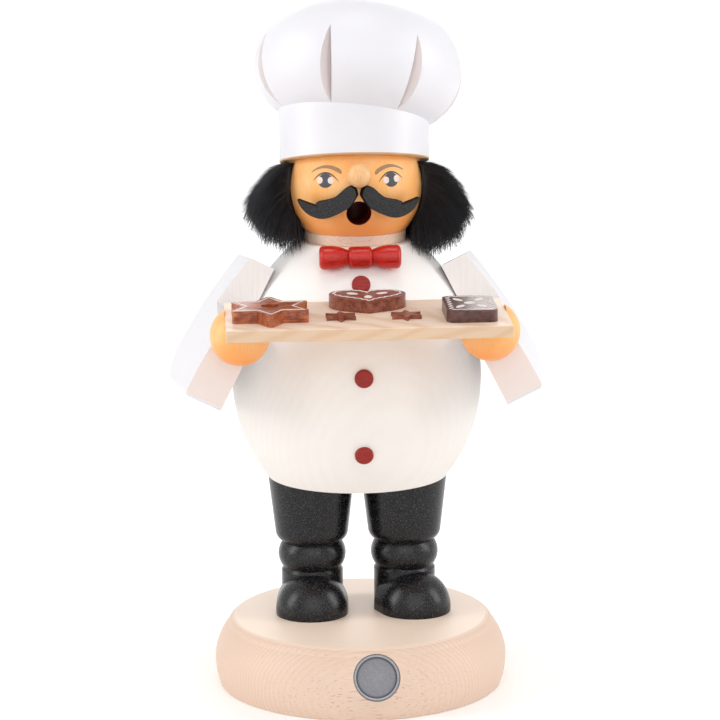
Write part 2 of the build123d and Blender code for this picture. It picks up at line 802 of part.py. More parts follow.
# Tray: a plain board that dips a little to the front and stops short of the coat
tilt = radians(tray_tilt)
hand_centre = cuff_plane.origin + sleeve_forward * hand_cuff_gap
tray_floor = hand_centre.Z + hand_flat_rise
tray_length = 2 * (abs(hand_centre.X) + tray_overhang)
tray_reach = figure_setback - coat_radius(tray_floor - belly_z) - tray_clearance - hand_centre.Y
tray_plane = Plane(
    (0, hand_centre.Y, tray_floor), x_dir=(1, 0, 0), z_dir=(0, -sin(tilt), cos(tilt))
)
with BuildPart() as tray_board:
    with BuildSketch(tray_plane):
        with Locations((0, tray_reach - tray_depth / 2)):
            Rectangle(tray_length, tray_depth)
    extrude(amount=tray_thickness)
    fillet(tray_board.edges(), tray_round)
keep(tray_board, "tray_board")

# Hands: balls pegged into the cuffs, each with a step sawn out for the end of the tray
with BuildPart() as hand_right:
    with Locations(hand_centre):
        Sphere(hand_radius)
    split(bisect_by=cuff_plane, keep=Keep.TOP)
    with BuildSketch(tray_plane):
        Rectangle(tray_length + 2 * glue_gap, 4 * hand_radius)
    extrude(amount=2 * hand_radius, mode=Mode.SUBTRACT)
    with BuildSketch(cuff_plane):
        Circle(hand_peg_radius)
    extrude(amount=-hand_peg_depth)
keep(hand_right, "hand_right")

with BuildPart() as hand_left:
    mirror(hand_right.part, about=Plane.YZ)
keep(hand_left, "hand_left")


def bake_plane(place):
    """Plane on the tray, at a distance to the side and in front of the tray's back edge."""
    top = tray_plane.offset(tray_thickness)
    return Plane(
        top.from_local_coords(Vector(place[0], tray_reach - place[1], 0)), x_dir=(1, 0, 0), z_dir=top.z_dir
    )


# Gingerbread: stained wooden shapes glued on the tray
with BuildPart() as gingerbread_star:
    with BuildSketch(bake_plane(star_place)) as star_outline:
        RegularPolygon(star_radius, 3, rotation=90)
        RegularPolygon(star_radius, 3, rotation=-90)
        fillet(star_outline.vertices().sort_by_distance((0, 0))[-star_points:], star_tip_round)
        RegularPolygon(star_hole_radius, 6, rotation=30, mode=Mode.SUBTRACT)
    extrude(amount=bake_thickness)
keep(gingerbread_star, "gingerbread_star")

lobe_radius = heart_width / 4
with BuildPart() as gingerbread_heart:
    with BuildSketch(bake_plane(heart_place)) as heart_outline:
        with BuildLine():
            tip = (0, -heart_length / 2)
            dip = (0, heart_length / 2 - heart_dip)
            side_point = (heart_width / 2, heart_length / 2 - lobe_radius)
            Spline(tip, side_point, tangents=[(heart_point_lean, 1), (0, 1)])
            ThreePointArc(side_point, (lobe_radius, heart_length / 2), dip)
            mirror(about=Plane.YZ)
        make_face()
        fillet(heart_outline.vertices().sort_by(Axis.Y)[0], heart_tip_round)
    extrude(amount=bake_thickness)
keep(gingerbread_heart, "gingerbread_heart")

with BuildPart() as gingerbread_slab:
    with BuildSketch(bake_plane(slab_place)):
        RectangleRounded(slab_width, slab_depth, slab_corner)
    extrude(amount=bake_thickness)
keep(gingerbread_slab, "gingerbread_slab")

for side, place in mini_star_places.items():
    with BuildPart() as mini_star:
        with BuildSketch(bake_plane(place)):
            for index in range(star_points):
                half_step = 180 / star_points
                with Locations(Rotation(0, 0, 2 * index * half_step)):
                    waist = Vector(0, mini_star_waist).rotate(Axis.Z, half_step)
                    Polygon(
                        (0, 0), (waist.X, waist.Y), (0, mini_star_radius), (-waist.X, waist.Y), align=None
                    )
        extrude(amount=mini_star_thickness)
    keep(mini_star, f"mini_star_{side}")
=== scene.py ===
from math import cos, hypot, pi, radians, sin, sqrt

import bpy
from mathutils import Matrix, Vector


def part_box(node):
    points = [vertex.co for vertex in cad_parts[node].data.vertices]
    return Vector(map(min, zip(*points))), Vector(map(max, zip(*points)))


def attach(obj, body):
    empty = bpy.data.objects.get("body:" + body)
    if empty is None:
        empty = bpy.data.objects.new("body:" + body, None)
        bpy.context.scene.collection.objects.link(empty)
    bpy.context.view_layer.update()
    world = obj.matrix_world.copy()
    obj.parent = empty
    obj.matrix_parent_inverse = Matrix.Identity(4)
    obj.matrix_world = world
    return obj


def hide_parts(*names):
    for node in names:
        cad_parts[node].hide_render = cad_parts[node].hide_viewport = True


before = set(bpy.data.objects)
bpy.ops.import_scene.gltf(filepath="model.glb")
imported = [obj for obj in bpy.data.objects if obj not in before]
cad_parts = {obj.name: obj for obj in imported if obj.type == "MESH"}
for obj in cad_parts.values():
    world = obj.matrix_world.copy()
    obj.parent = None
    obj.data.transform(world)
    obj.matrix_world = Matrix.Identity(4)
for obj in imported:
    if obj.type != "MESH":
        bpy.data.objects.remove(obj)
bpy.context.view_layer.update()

# Plinth: a disc of steamed beech, turned with a full belly and a hollow under its top edge, then oiled.
# The board's grain runs from side to side, so the growth rings bend round the flanks and the front
# is flat-sawn, sprinkled with short brown rays. The collar, plug and dowels are the same bare wood.
# Sizes are written in millimetres, and times mm they are the scene's metres.
mm = 0.001


def linear(code):
    """Scene-linear colour of an sRGB hex value."""
    shares = [int(code[i : i + 2], 16) / 255 for i in (1, 3, 5)]
    return (*[c / 12.92 if c <= 0.04045 else ((c + 0.055) / 1.055) ** 2.4 for c in shares], 1.0)


def add(tree, kind, sockets=None, **settings):
    """Add a node to a tree; each socket gets a value or a link from another node's output."""
    made = tree.nodes.new(kind)
    for name, value in settings.items():
        setattr(made, name, value)
    for key, value in (sockets or {}).items():
        if isinstance(value, bpy.types.NodeSocket):
            tree.links.new(value, made.inputs[key])
        else:
            made.inputs[key].default_value = value
    return made


def start_finish(name, roughness=None):
    """A new material, its tree, its surface shader and its texture coordinates.

    A finish whose roughness follows a pattern is started without one.
    """
    material = bpy.data.materials.new(name)
    material.use_nodes = True
    surface = material.node_tree.nodes["Principled BSDF"]
    if roughness is not None:
        surface.inputs["Roughness"].default_value = roughness
    return material, material.node_tree, surface, add(material.node_tree, "ShaderNodeTexCoord").outputs


def fibres(tree, place, along, length, width, detail=3.0):
    """Noise drawn out along one axis, like wood fibres of a given length and width in mm."""
    stretch = [1 / (width * mm)] * 3
    stretch["XYZ".index(along)] = 1 / (length * mm)
    drawn = add(tree, "ShaderNodeMapping", {"Vector": place, "Scale": stretch})
    noise = add(tree, "ShaderNodeTexNoise", {"Vector": drawn.outputs[0], "Scale": 1.0, "Detail": detail})
    return noise.outputs[0]


def growth_rings(tree, place, turn, pith, width, waver):
    """Growth rings, their width in mm, round a pith line through a point and along a turned X axis."""
    centred = add(tree, "ShaderNodeVectorMath", {0: place, 1: [p * mm for p in pith]}, operation="SUBTRACT")
    turned = add(tree, "ShaderNodeMapping", {"Vector": centred.outputs[0], "Rotation": turn})
    # Blender's wave runs through 20 radians in each unit of its scaled distance
    radians_per_unit = 20
    wave = add(
        tree,
        "ShaderNodeTexWave",
        {
            "Vector": turned.outputs[0],
            "Scale": 2 * pi / (radians_per_unit * width * mm),
            "Distortion": waver,
            "Detail": 2.0,
            "Detail Scale": 0.7,
        },
        wave_type="RINGS",
        rings_direction="X",
    )
    return wave.outputs["Fac"]


def layered(tree, ground, *layers):
    """Tone of a ground colour under thin layers.

    A layer is (pattern, value where it starts, value where it is full, its full share, its colour).
    """
    tone = linear(ground) if isinstance(ground, str) else ground
    for pattern, start, end, share, colour in layers:
        cover = add(
            tree,
            "ShaderNodeMapRange",
            {"Value": pattern, "From Min": start, "From Max": end, "To Max": share},
        )
        over = linear(colour) if isinstance(colour, str) else colour
        # A mix of colours takes its share at socket 0 and its colours at 6 and 7, and gives the tone at 2
        blend = add(tree, "ShaderNodeMix", {0: cover.outputs[0], 6: tone, 7: over}, data_type="RGBA")
        tone = blend.outputs[2]
    return tone


def dress(material, *names):
    """Give CAD nodes a finish."""
    for name in names:
        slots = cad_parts[name].data.materials
        slots.clear()
        slots.append(material)


# Steamed beech, turned and oiled: pinkish tan with a low sheen, ring lines 1.3 mm apart round the flanks and
# brown rays a few millimetres long on the front, drawn coarser than real ones so that they show.
beech, tree, surface, place = start_finish("steamed_beech_oiled", 0.5)
rings = growth_rings(tree, place["Object"], turn=(0, 0, 0), pith=(0, 140, 22), width=1.3, waver=2.2)
strands = fibres(tree, place["Object"], along="X", length=22, width=0.5)
rays = fibres(tree, place["Object"], along="X", length=8.0, width=0.42, detail=1.0)
facing = add(tree, "ShaderNodeSeparateXYZ", {0: place["Normal"]}).outputs
front_sharpness = 4.0
flat_sawn = add(tree, "ShaderNodeMath", {0: facing["Y"], 1: front_sharpness}, operation="POWER").outputs[0]
ray_marks = add(
    tree, "ShaderNodeMapRange", {"Value": rays, "From Min": 0.63, "From Max": 0.71, "To Max": 0.62}
)
ray_marks = add(tree, "ShaderNodeMath", {0: ray_marks.outputs[0], 1: flat_sawn}, operation="MULTIPLY")
ring_lines = add(
    tree, "ShaderNodeMapRange", {"Value": rings, "From Min": 0.3, "From Max": 1.0, "To Max": 0.36}
)
quarter_sawn = add(
    tree,
    "ShaderNodeMapRange",
    {"Value": flat_sawn, "From Min": 0.1, "From Max": 0.8, "To Min": 1.0, "To Max": 0.12},
)
ring_lines = add(
    tree, "ShaderNodeMath", {0: ring_lines.outputs[0], 1: quarter_sawn.outputs[0]}, operation="MULTIPLY"
)
tone = layered(
    tree,
    "#ecd3c1",
    (ring_lines.outputs[0], 0.0, 1.0, 1.0, "#dbb499"),
    (strands, 0.35, 0.7, 0.34, "#e0ba9c"),
    (ray_marks.outputs[0], 0.0, 1.0, 1.0, "#b97c56"),
    # Faces turned up are painted paler, a painted light on the plinth's top.
    (facing["Z"], 0.75, 0.98, 0.9, "#ffecdb"),
)
tree.links.new(tone, surface.inputs["Base Color"])
pores = add(tree, "ShaderNodeBump", {"Strength": 0.25, "Distance": 0.06 * mm, "Height": strands})
tree.links.new(pores.outputs[0], surface.inputs["Normal"])
dress(beech, "base_plinth", "collar_ring", "waist_plug")
dress(beech, "foot_dowels", "hip_dowels", "hat_dowel", "crown_dowel", "shoulder_dowels")

# Badge: a cast pewter roundel with a raised rim, pressed into a drilled seat in the plinth's front.
# Its field is bare and slightly sandy from the mould, with dark patina left along the foot of the rim.
badge_low, badge_high = (Vector(corner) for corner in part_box("base_badge"))
badge_radius = (badge_high.x - badge_low.x) / 2
# Cast pewter: soft grey metal, satin, with a mottled field, blackened creases and a painted shade at its
# outer edge.
pewter, tree, surface, place = start_finish("cast_pewter_patina", 0.42)
surface.inputs["Metallic"].default_value = 1.0
from_middle = add(
    tree, "ShaderNodeVectorMath", {0: place["Object"], 1: (badge_low + badge_high) / 2}, operation="DISTANCE"
)
reach = add(tree, "ShaderNodeMapRange", {"Value": from_middle.outputs["Value"], "From Max": badge_radius})
patina_and_gap_shade = add(tree, "ShaderNodeValToRGB", {0: reach.outputs[0]})
bands = patina_and_gap_shade.color_ramp
# Dark patina at the foot of the rim, a paler rim, and a dark outer edge that is a painted shade of the gap
# round the seat.
for reach_share, shade in (
    (0.0, "#7c7c81"),
    (0.76, "#737378"),
    (0.86, "#303034"),
    (0.895, "#9c9ca0"),
    (0.95, "#86868b"),
):
    bands.elements.new(reach_share).color = linear(shade)
bands.elements[-1].color = linear("#3a3a3d")
sand = add(tree, "ShaderNodeTexNoise", {"Vector": place["Object"], "Scale": 1 / (0.7 * mm), "Detail": 3.0})
tone = layered(tree, patina_and_gap_shade.outputs[0], (sand.outputs[0], 0.35, 0.7, 0.4, "#58585c"))
tree.links.new(tone, surface.inputs["Base Color"])
grit = add(tree, "ShaderNodeBump", {"Strength": 0.35, "Distance": 0.05 * mm, "Height": sand.outputs[0]})
tree.links.new(grit.outputs[0], surface.inputs["Normal"])
dress(pewter, "base_badge")

# Boots: two turned shafts, each with a bead between grooves, doweled upright on the plinth, and two turned
# toecaps scooped to fit round the ankles. All are stained black and sealed with a thin satin lacquer.
# Black-stained limewood: near black and satin over faint upright fibres, with pale open pores that are partly
# a painted sparkle of light. The pores are drawn coarser than real ones so that they show.
boot_black, tree, surface, place = start_finish("limewood_black_stain")
surface.inputs["Specular IOR Level"].default_value = 0.32
pores = add(tree, "ShaderNodeTexNoise", {"Vector": place["Object"], "Scale": 1 / (0.34 * mm), "Detail": 1.0})
upright = fibres(tree, place["Object"], along="Z", length=5, width=0.45)
tone = layered(
    tree,
    "#040405",
    (upright, 0.3, 0.7, 0.8, "#0f0f11"),
    # The pale pore specks are partly a painted sparkle of light.
    (pores.outputs[0], 0.56, 0.74, 0.7, "#64656c"),
)
tree.links.new(tone, surface.inputs["Base Color"])
gloss = add(
    tree,
    "ShaderNodeMapRange",
    {"Value": pores.outputs[0], "From Min": 0.3, "From Max": 0.7, "To Min": 0.2, "To Max": 0.32},
)
tree.links.new(gloss.outputs[0], surface.inputs["Roughness"])
pits = add(tree, "ShaderNodeBump", {"Strength": 0.6, "Distance": 0.08 * mm, "Height": pores.outputs[0]})
tree.links.new(pits.outputs[0], surface.inputs["Normal"])
dress(boot_black, "leg_right", "leg_left", "toe_right", "toe_left")

# Ember plate: a shallow dish pressed from thin brass and held on the wooden plug by two brass brads.
# It is out of sight until the figure is lifted off.
# Pressed brass: warm yellow metal with dull heat blooms from earlier cones.
brass, tree, surface, place = start_finish("brass_pressed")
surface.inputs["Metallic"].default_value = 1.0
bloom = add(tree, "ShaderNodeTexNoise", {"Vector": place["Object"], "Scale": 1 / (4 * mm), "Detail": 4.0})
tone = layered(tree, "#d8b263", (bloom.outputs[0], 0.0, 1.0, 1.0, "#8f6a35"))
tree.links.new(tone, surface.inputs["Base Color"])
dull = add(
    tree,
    "ShaderNodeMapRange",
    {"Value": bloom.outputs[0], "From Min": 0.3, "From Max": 0.7, "To Min": 0.26, "To Max": 0.52},
)
tree.links.new(dull.outputs[0], surface.inputs["Roughness"])
dress(brass, "ember_plate", "ember_brads")

# Coat: the hollow egg-shaped body, turned from one block and dipped in thin white, so that the growth
# rings still show faintly as nested loops low on its front.
# Whitewashed limewood: warm off-white, nearly matt, with pale ring lines 3 mm apart.
chest_height = 112
neck_height = 142
coat_white, tree, surface, place = start_finish("limewood_whitewash", 0.55)
rings = growth_rings(
    tree, place["Object"], turn=(0, radians(62), radians(14)), pith=(14, -150, 20), width=3.0, waver=2.6
)
haze = fibres(tree, place["Object"], along="Z", length=9, width=1.1)
height = add(tree, "ShaderNodeSeparateXYZ", {0: place["Object"]}).outputs["Z"]
tone = layered(
    tree,
    "#f5f1ec",
    (rings, 0.2, 1.0, 0.16, "#ece5de"),
    (haze, 0.35, 0.7, 0.22, "#efe9e4"),
    # Towards the neck the coat is painted whiter, a painted light against the shade under the head and the
    # tie.
    (height, chest_height * mm, neck_height * mm, 0.85, "#fffefd"),
)
tree.links.new(tone, surface.inputs["Base Color"])
ridges = add(tree, "ShaderNodeBump", {"Strength": 0.1, "Distance": 0.04 * mm, "Height": haze})
tree.links.new(ridges.outputs[0], surface.inputs["Normal"])
dress(coat_white, "body_shell")

# Buttons and bow tie: red dowel ends glued into drilled holes, and a spindle turned with two wings and a
# knot. Both are beech soaked in red stain; the tie has a coat of lacquer and carries soft highlights.
# Red-stained beech: deep warm red with darker fibres and paler pores.
for name, base, dark, pale, roughness, members in (
    ("beech_red_stain_satin", "#d22014", "#9a140b", "#d8503f", 0.28, ["bow_tie"]),
    ("beech_red_stain_matt", "#a02019", "#74120e", "#b2463b", 0.5,
     ["coat_button_top", "coat_button_middle", "coat_button_bottom"]),
):
    red, tree, surface, place = start_finish(name, roughness)
    surface.inputs["Specular IOR Level"].default_value = 0.4
    grain = fibres(tree, place["Object"], along="X", length=3.2, width=0.3)
    pores = add(
        tree, "ShaderNodeTexNoise", {"Vector": place["Object"], "Scale": 1 / (0.4 * mm), "Detail": 1.0}
    )
    tone = layered(tree, base, (grain, 0.4, 0.7, 0.95, dark), (pores.outputs[0], 0.6, 0.8, 0.5, pale))
    tree.links.new(tone, surface.inputs["Base Color"])
    ridges = add(tree, "ShaderNodeBump", {"Strength": 0.25, "Distance": 0.05 * mm, "Height": grain})
    tree.links.new(ridges.outputs[0], surface.inputs["Normal"])
    dress(red, *members)

# Head and hands: turned balls stained a warm skin tone; the head is drilled through at the mouth, and its
# bore is painted dark maroon a little way in, a painted shade. The nose is a ball of paler, unstained wood
# pegged into a drilled seat.
head_radius = 24.8
head_middle = Vector((0, 10, 184.3))
bore_shade_start = 0.06
bore_shade_full = 0.4
# Skin-stained limewood: orange glaze, satin, painted a deeper orange on the faces turned down, a painted
# shade.
skin_tone, tree, surface, place = start_finish("limewood_skin_stain", 0.42)
cloud = add(tree, "ShaderNodeTexNoise", {"Vector": place["Object"], "Scale": 1 / (11 * mm), "Detail": 2.0})
grain = fibres(tree, place["Object"], along="Z", length=7, width=0.6)
facing = add(tree, "ShaderNodeSeparateXYZ", {0: place["Normal"]}).outputs
depth = add(tree, "ShaderNodeVectorMath", {0: place["Object"], 1: head_middle * mm}, operation="DISTANCE")
tone = layered(
    tree,
    "#ffc886",
    (cloud.outputs[0], 0.3, 0.7, 1.0, "#ffb665"),
    (grain, 0.4, 0.75, 0.3, "#fb9f4c"),
    # Faces turned down are painted a deeper orange, a painted shade.
    (facing["Z"], 0.0, -0.8, 0.75, "#fa953f"),
    # The mouth's bore darkens to maroon from just inside the ball's surface, a painted shade in the hole.
    (depth.outputs["Value"], (head_radius - bore_shade_start) * mm, (head_radius - bore_shade_full) * mm, 1.0, "#7a1a14"),
)
tree.links.new(tone, surface.inputs["Base Color"])
ridges = add(tree, "ShaderNodeBump", {"Strength": 0.12, "Distance": 0.05 * mm, "Height": grain})
tree.links.new(ridges.outputs[0], surface.inputs["Normal"])
dress(skin_tone, "head", "hand_right", "hand_left")

# Bare limewood: pale peach with fine straight fibres.
bare_lime, tree, surface, place = start_finish("limewood_bare_waxed", 0.42)
grain = fibres(tree, place["Object"], along="Z", length=5, width=0.45)
tone = layered(tree, "#f4c48d", (grain, 0.35, 0.75, 1.0, "#e7b074"))
tree.links.new(tone, surface.inputs["Base Color"])
ridges = add(tree, "ShaderNodeBump", {"Strength": 0.15, "Distance": 0.05 * mm, "Height": grain})
tree.links.new(ridges.outputs[0], surface.inputs["Normal"])
dress(bare_lime, "nose")

# Moustache: two plates fretsawn to a swung outline and glued under the nose, stained black right through.
# Only their sanded front faces catch the light, and the sawn edges stay dull; the face's charcoal grain is
# partly a painted sheen and the edges' dead black a painted shade.
# Black-stained limewood, sanded: charcoal face with fine short grain, dead black edges.
face_end = -0.6
edge_start = -0.35
whisker, tree, surface, place = start_finish("limewood_black_sanded")
surface.inputs["Specular IOR Level"].default_value = 0.3
grain = fibres(tree, place["Object"], along="X", length=0.7, width=0.3, detail=2.0)
facing = add(tree, "ShaderNodeSeparateXYZ", {0: place["Normal"]}).outputs
tone = layered(
    tree,
    "#101011",
    # The charcoal grain on the front faces is partly a painted sheen.
    (grain, 0.35, 0.75, 1.0, "#3c3c3e"),
    # The sawn edges are painted dead black, a painted shade.
    (facing["Y"], face_end, edge_start, 1.0, "#020202"),
)
tree.links.new(tone, surface.inputs["Base Color"])
dull = add(
    tree,
    "ShaderNodeMapRange",
    {"Value": facing["Y"], "From Min": face_end, "From Max": edge_start, "To Min": 0.42, "To Max": 0.9},
)
tree.links.new(dull.outputs[0], surface.inputs["Roughness"])
dress(whisker, "moustache_right", "moustache_left")

# Eyes and brows: painted on the ball with a fine brush, a dark iris hung under a lash line, with two pale
# lights that sit left and right, and a soft brow that thins away from the nose.
eye_angle = 29.0
eye_rise = 9.6
iris_half_width = 2.9
iris_half_height = 2.55
iris_drop = 0.05
iris_to_lash = 0.05
lash_half_length = 5.1
lash_arch = 2.9
lash_drop = 0.1
lash_tip = 0.1
lash_swell = 0.22
light_offset = 2.2
light_rise = 0.1
light_half_width = 1.2
light_half_height = 1.25
brow_half_length = 6.2
brow_rise = 3.1
brow_arch = 2.0
brow_tip = 0.3
brow_swell = 0.62
brow_blunt = 0.35
brow_rounding = 6
paint_depth = {"iris": 0.03, "lash": 0.04, "light": 0.06, "brow": 0.03}


def brush_mark(name, paint, side, turn, columns, lift):
    """A mark on the ball beside the nose: columns of (x, low y, high y) in mm from the middle of one eye."""
    out = radians(eye_angle)
    up = radians(eye_rise)
    ahead = Vector((side * sin(out) * cos(up), -cos(out) * cos(up), sin(up)))
    across = Vector((cos(out), side * sin(out), 0))
    tall = across.cross(ahead) * -1
    tilt = radians(turn)
    rows = 8
    points = []
    for x, low, high in columns:
        for row in range(rows + 1):
            y = low + (high - low) * row / rows
            a = x * cos(tilt) - y * sin(tilt)
            b = x * sin(tilt) + y * cos(tilt)
            spot = (ahead * head_radius + across * a + tall * b).normalized()
            points.append((head_middle + spot * (head_radius + lift)) * mm)
    step = rows + 1
    faces = [
        (i * step + j, (i + 1) * step + j, (i + 1) * step + j + 1, i * step + j + 1)
        for i in range(len(columns) - 1)
        for j in range(rows)
    ]
    mesh = bpy.data.meshes.new(name)
    mesh.from_pydata(points, [], faces)
    for face in mesh.polygons:
        face.use_smooth = True
    mesh.materials.append(paint)
    mark = bpy.data.objects.new(name, mesh)
    bpy.context.scene.collection.objects.link(mark)
    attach(mark, "figure")


def lash(x):
    """Height of the lash line over the eye's middle, in mm."""
    return lash_arch * (1 - (x / lash_half_length) ** 2) - lash_drop


def round_rise(s):
    """Height of a half circle of radius 1 over its diameter, at a place from -1 to 1."""
    return sqrt(max(0.0, 1 - s * s))


# Artist's paint: thin, matt, with streaks left by the brush.
paints = {}
for name, colour, streak in (
    ("paint_slate", "#3b3c42", "#54555b"),
    ("paint_pale", "#f6e7df", "#e9d0c2"),
    ("paint_brow", "#96785c", "#b58d66"),
):
    paints[name], tree, surface, place = start_finish(name, 0.6)
    strokes = fibres(tree, place["Object"], along="X", length=3, width=0.25)
    tone = layered(tree, colour, (strokes, 0.35, 0.7, 1.0, streak))
    tree.links.new(tone, surface.inputs["Base Color"])

mark_columns = 24
spread = [i / mark_columns * 2 - 1 for i in range(mark_columns + 1)]
for side, word, turn in ((-1, "right", 2.0), (1, "left", 3.0)):
    iris = []
    for s in spread:
        x = iris_half_width * s
        rise = iris_half_height * round_rise(s)
        iris.append((x, -iris_drop - rise, min(-iris_drop + rise, lash(x) - iris_to_lash)))
    brush_mark(f"iris_{word}", paints["paint_slate"], side, turn, iris, paint_depth["iris"])
    line = []
    for s in spread:
        x = lash_half_length * s
        half = lash_tip + lash_swell * round_rise(s)
        line.append((x, lash(x) - half, lash(x) + half))
    brush_mark(f"lash_{word}", paints["paint_slate"], side, turn, line, paint_depth["lash"])
    for way in (-1, 1):
        end = "outer" if way == side else "inner"
        dot = []
        for s in spread:
            rise = light_half_height * round_rise(s)
            dot.append((way * light_offset + light_half_width * s, light_rise - rise, light_rise + rise))
        brush_mark(f"eye_light_{word}_{end}", paints["paint_pale"], side, turn, dot, paint_depth["light"])
    brow = []
    for s in spread:
        inward = 0.5 - 0.5 * s * side
        half = brow_tip + brow_swell * inward * min(1.0, brow_rounding * (1 - abs(s)) + brow_blunt)
        ridge = brow_rise + brow_arch * (1 - s * s)
        brow.append((brow_half_length * s, ridge - half, ridge + half))
    brush_mark(f"brow_{word}", paints["paint_brow"], side, turn, brow, paint_depth["brow"])

# Hair: a strip of black long-pile plush glued round the head from temple to temple under the hat band.
# The pile stands out from its cloth, falls outward and down in loose tufts and ends on the coat.
# Its angles are in degrees: the temples' from straight ahead, the drops' down from level.
seat_rise = 7.9
seat_tilt = radians(13)
band_radius = 26.3
band_gap = 0.6
temple = 72.0
temple_round = 11
temple_edge = 0.01
temple_sweep = 28
sweep_growth = 6
hem_height = 158.4
cloth_radius = 25.1
cloth_gap = 0.4
spring_radius = 24.0
first_drop = 28
drop_span = 69
core_share = 0.64
core_sweep = 0.4
fullness = 0.92
fuller_left = 0.05
crest_share = 0.6
crest_span = 20
droop = 0.8


def pile_fan(heading, drop):
    """Cloth point, edge of the dense core and tip of the pile, in mm, at a drop in degrees below level."""
    turn = radians(heading)
    fall = radians(drop)
    fallen = drop - first_drop
    out = Vector((sin(turn), -cos(turn), 0))
    band_edge = seat_rise / cos(seat_tilt) - band_radius * out.y * sin(seat_tilt) / cos(seat_tilt)
    top = head_middle.z + band_edge - band_gap
    height = top - hem_height
    crest = crest_share + (1 - crest_share) * min(1.0, fallen / crest_span)
    swell = (fullness + fuller_left * out.x) * crest
    run = (out * cos(fall) - Vector((0, 0, sin(fall)))) * height * swell * sin(fall) ** droop
    spring = Vector((0, head_middle.y, top)) + out * spring_radius
    z = top - cloth_gap - core_share * height * fallen / drop_span
    cloth = Vector((0, head_middle.y, z)) + out * sqrt(cloth_radius**2 - (z - head_middle.z) ** 2)
    end = min(heading - temple, 360 - temple - heading)
    full = sqrt(1 - (1 - min(1.0, temple_edge + end / temple_round)) ** 2)
    sweep = max(0.0, 1 - end / temple_sweep) * (1 + sweep_growth * fallen / drop_span)
    ahead = Vector((0, -1, 0)) * sweep
    core = cloth + (spring + run * core_share - cloth) * full + ahead * full * core_sweep
    return cloth, core, spring + run + ahead


# Black plush: fine synthetic pile, deep black with a dull grey sheen along each fibre, partly painted as
# paler strands.
plush, tree, surface, place = start_finish("plush_black_pile")
surface.inputs["Specular IOR Level"].default_value = 0.35
lock = add(tree, "ShaderNodeTexNoise", {"Vector": place["Object"], "Scale": 1 / (2.2 * mm), "Detail": 2.0})
strand = add(tree, "ShaderNodeAttribute", attribute_name="strand")
light = add(tree, "ShaderNodeMath", {0: lock.outputs[0], 1: strand.outputs["Fac"]}, operation="MULTIPLY")
# The paler grey strands stand in for the sheen along the fibres, a painted sheen.
tone = layered(tree, "#030304", (light.outputs[0], 0.0, 1.0, 1.0, "#48484f"))
tree.links.new(tone, surface.inputs["Base Color"])
sheen = add(
    tree,
    "ShaderNodeMapRange",
    {"Value": lock.outputs[0], "From Min": 0.3, "From Max": 0.7, "To Min": 0.42, "To Max": 0.65},
)
tree.links.new(sheen.outputs[0], surface.inputs["Roughness"])

# The tree that grows the pile: points on the cloth, each with a tapered, drooping fibre that leans to its
# tuft. The fibres are thicker and fewer than real ones, as many as a piece can carry.
first_seed = 7
seed_step = 12
pile = bpy.data.node_groups.new("plush_pile", "GeometryNodeTree")
pile.interface.new_socket("Geometry", in_out="INPUT", socket_type="NodeSocketGeometry")
for label, kind, value in (
    ("Fibres per Square Metre", "NodeSocketFloat", 1.0e7),
    ("Tuft Spacing", "NodeSocketFloat", 2.6 * mm),
    ("Tuft Pull", "NodeSocketFloat", 0.5),
    ("Stray", "NodeSocketFloat", 1.5 * mm),
    ("Lift", "NodeSocketFloat", 1.0 * mm),
    ("Fibre Slimness", "NodeSocketFloat", 0.0074),
    ("Seed", "NodeSocketInt", first_seed),
):
    socket = pile.interface.new_socket(label, in_out="INPUT", socket_type=kind)
    socket.default_value = value
pile.interface.new_socket("Geometry", in_out="OUTPUT", socket_type="NodeSocketGeometry")
given = add(pile, "NodeGroupInput").outputs
roots = add(
    pile,
    "GeometryNodeDistributePointsOnFaces",
    {"Mesh": given["Geometry"], "Density": given["Fibres per Square Metre"], "Seed": given["Seed"]},
)
at = add(pile, "GeometryNodeInputPosition").outputs[0]
per_metre = add(pile, "ShaderNodeMath", {0: 1.0, 1: given["Tuft Spacing"]}, operation="DIVIDE")
tufts = add(pile, "ShaderNodeTexVoronoi", {"Vector": at, "Scale": per_metre.outputs[0]})
to_tuft = add(pile, "ShaderNodeVectorMath", {0: tufts.outputs["Position"], 1: at}, operation="SUBTRACT")
pull = add(
    pile, "ShaderNodeVectorMath", {0: to_tuft.outputs[0], "Scale": given["Tuft Pull"]}, operation="SCALE"
)
chance = add(
    pile,
    "FunctionNodeRandomValue",
    {0: (-1, -1, -1), 1: (1, 1, 1), "Seed": given["Seed"]},
    data_type="FLOAT_VECTOR",
)
stray = add(pile, "ShaderNodeVectorMath", {0: chance.outputs[0], "Scale": given["Stray"]}, operation="SCALE")
raised = add(
    pile, "ShaderNodeVectorMath", {0: roots.outputs["Normal"], "Scale": given["Lift"]}, operation="SCALE"
)
lean = add(pile, "GeometryNodeInputNamedAttribute", {"Name": "fall"}, data_type="FLOAT_VECTOR")
for bend in (pull, stray, raised):
    lean = add(pile, "ShaderNodeVectorMath", {0: lean.outputs[0], 1: bend.outputs[0]}, operation="ADD")
